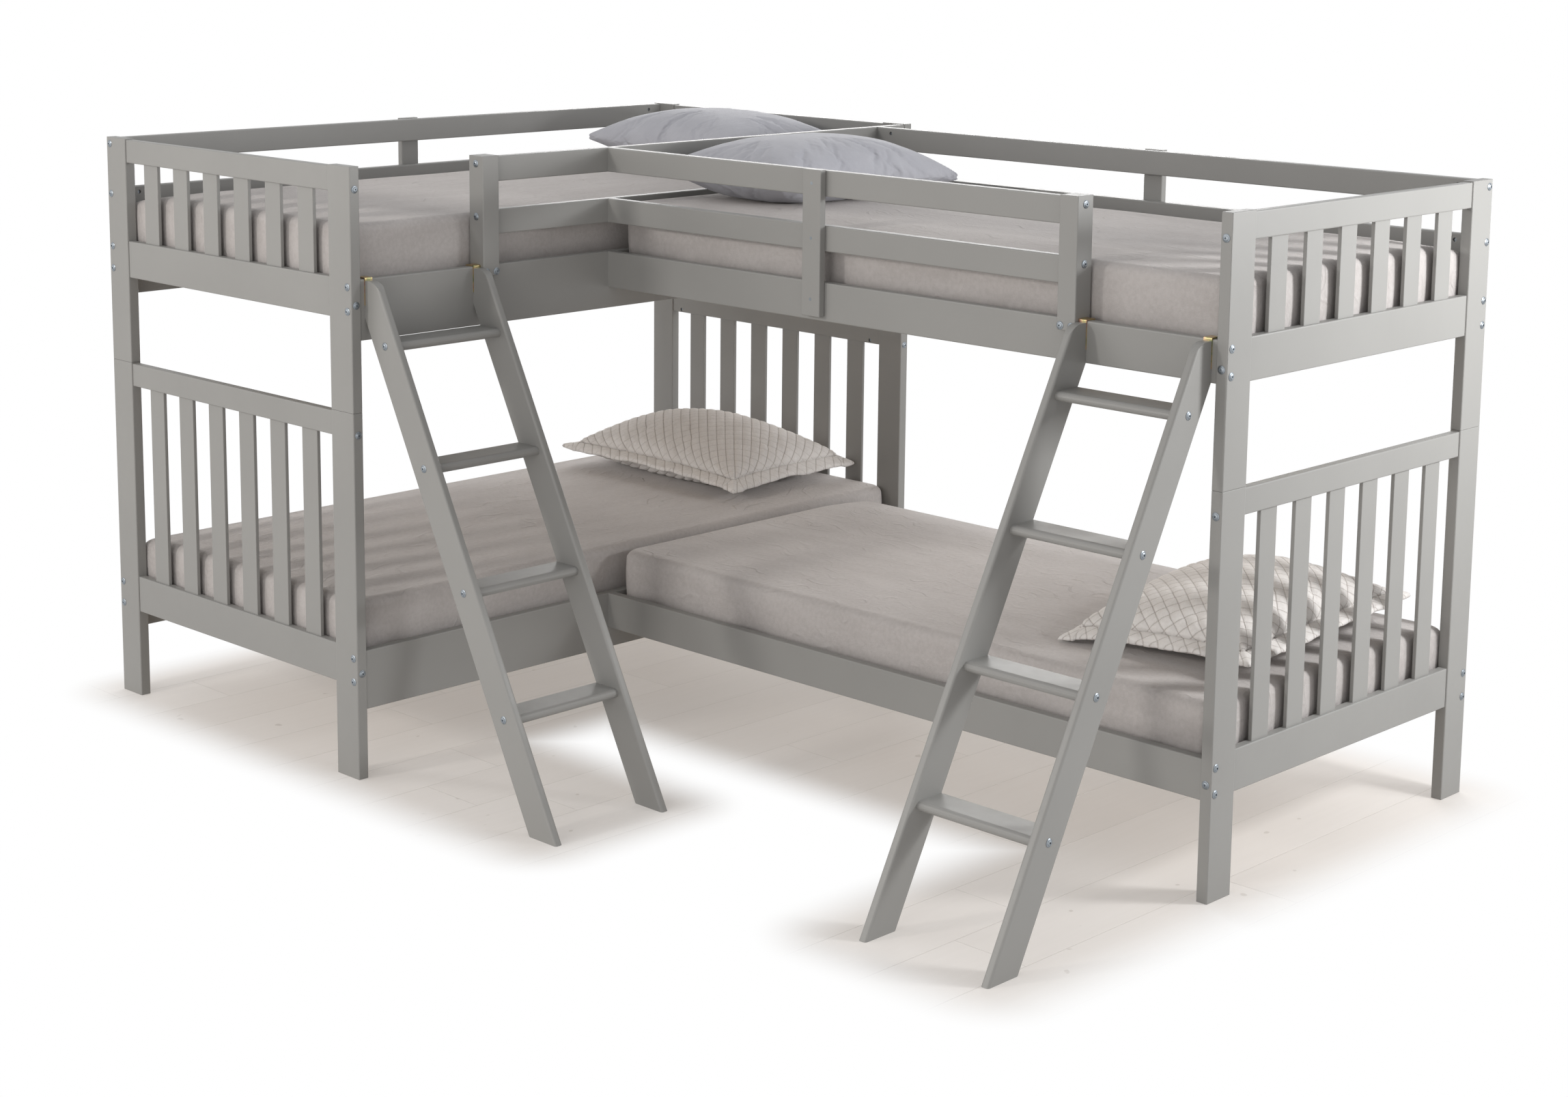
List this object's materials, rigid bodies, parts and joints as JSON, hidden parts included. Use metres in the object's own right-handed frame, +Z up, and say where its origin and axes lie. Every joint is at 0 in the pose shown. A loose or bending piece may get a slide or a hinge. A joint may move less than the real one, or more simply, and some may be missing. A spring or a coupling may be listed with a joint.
{
  "type": "l shaped bunk bed",
  "caption": "Corner bunk bed in grey painted wood: upper and lower twin bunks in an L, slatted end panels, guard rails, hook-on ladders, mattresses and pillows",
  "frame": {"origin": "on the floor, under the middle of the overall box", "axes": "+X along bunk B, away from bunk A; +Y along bunk A, towards its head end; +Z up"},
  "size_m": [3.048, 2.026, 1.546],
  "materials": {
    "painted_wood": "satin grey paint",
    "bare_wood": "planed, unfinished",
    "zinc_steel": "bright zinc",
    "yellow_zinc": "yellow zinc plate",
    "fitted_sheet": "brushed fleece",
    "cotton_case": "plain woven cotton",
    "quilted_sham": "diamond quilted plush"
  },
  "bodies": {
    "bunk_frame": {"foot_posts_low": "painted_wood", "foot_posts_up": "painted_wood", "head_posts_low": "painted_wood", "head_posts_up": "painted_wood", "end_posts_low": "painted_wood", "end_posts_up": "painted_wood", "foot_rails_low": "painted_wood", "foot_rails_up": "painted_wood", "head_rails_low": "painted_wood", "head_rails_up": "painted_wood", "end_rails_low": "painted_wood", "end_rails_up": "painted_wood", "foot_slats_low": "painted_wood", "foot_slats_up": "painted_wood", "head_slats_low": "painted_wood", "head_slats_up": "painted_wood", "end_slats_low": "painted_wood", "end_slats_up": "painted_wood", "rail_a_back_low": "painted_wood", "rail_a_front_low": "painted_wood", "rail_b_front_low": "painted_wood", "rail_b_back_low": "painted_wood", "rail_a_back_up": "painted_wood", "rail_a_front_up": "painted_wood", "rail_b_front_up": "painted_wood", "rail_b_back_up": "painted_wood", "guards_a_back": "painted_wood", "guards_a_front": "painted_wood", "guards_b_front": "painted_wood", "guards_b_back": "painted_wood", "gate_post_a": "painted_wood", "gate_post_b": "painted_wood", "tie_boards": "painted_wood", "deck_a_low": "bare_wood", "deck_b_low": "bare_wood", "deck_a_up": "bare_wood", "deck_b_up": "bare_wood", "cleats": "bare_wood", "bed_bolts": "zinc_steel", "panel_bolts": "zinc_steel", "barrel_nuts": "zinc_steel", "post_pins": "zinc_steel", "tie_screws": "zinc_steel"},
    "ladder_a": {"ladder_a_stringers": "painted_wood", "ladder_a_treads": "painted_wood", "ladder_a_hooks": "yellow_zinc", "ladder_a_bolts": "zinc_steel"},
    "ladder_b": {"ladder_b_stringers": "painted_wood", "ladder_b_treads": "painted_wood", "ladder_b_hooks": "yellow_zinc", "ladder_b_bolts": "zinc_steel"},
    "mattress_a_low_body": {"mattress_a_low": "fitted_sheet"},
    "mattress_b_low_body": {"mattress_b_low": "fitted_sheet"},
    "mattress_a_up_body": {"mattress_a_up": "fitted_sheet"},
    "mattress_b_up_body": {"mattress_b_up": "fitted_sheet"},
    "pillow_a_body": {"pillow_a": "cotton_case"},
    "pillow_b_body": {"pillow_b": "cotton_case"},
    "sham_a_body": {"sham_a": "quilted_sham"},
    "sham_b_body": {"sham_b": "quilted_sham"}
  },
  "joints": [
    {"name": "ladder_a_lift", "type": "slide", "parent": "bunk_frame", "child": "ladder_a", "axis": [0, 0, 1], "range_m": [0, 0.06]},
    {"name": "ladder_b_lift", "type": "slide", "parent": "bunk_frame", "child": "ladder_b", "axis": [0, 0, 1], "range_m": [0, 0.06]},
    {"name": "mattress_a_low_lift", "type": "slide", "parent": "bunk_frame", "child": "mattress_a_low_body", "axis": [0, 0, 1], "range_m": [0, 0.1]},
    {"name": "mattress_b_low_lift", "type": "slide", "parent": "bunk_frame", "child": "mattress_b_low_body", "axis": [0, 0, 1], "range_m": [0, 0.1]},
    {"name": "mattress_a_up_lift", "type": "slide", "parent": "bunk_frame", "child": "mattress_a_up_body", "axis": [0, 0, 1], "range_m": [0, 0.1]},
    {"name": "mattress_b_up_lift", "type": "slide", "parent": "bunk_frame", "child": "mattress_b_up_body", "axis": [0, 0, 1], "range_m": [0, 0.1]},
    {"name": "pillow_a_lift", "type": "slide", "parent": "mattress_a_up_body", "child": "pillow_a_body", "axis": [0, 0, 1], "range_m": [0, 0.1]},
    {"name": "pillow_b_lift", "type": "slide", "parent": "mattress_b_up_body", "child": "pillow_b_body", "axis": [0, 0, 1], "range_m": [0, 0.1]},
    {"name": "sham_a_lift", "type": "slide", "parent": "mattress_a_low_body", "child": "sham_a_body", "axis": [0, 0, 1], "range_m": [0, 0.1]},
    {"name": "sham_b_lift", "type": "slide", "parent": "mattress_b_low_body", "child": "sham_b_body", "axis": [0, 0, 1], "range_m": [0, 0.1]}
  ]
}
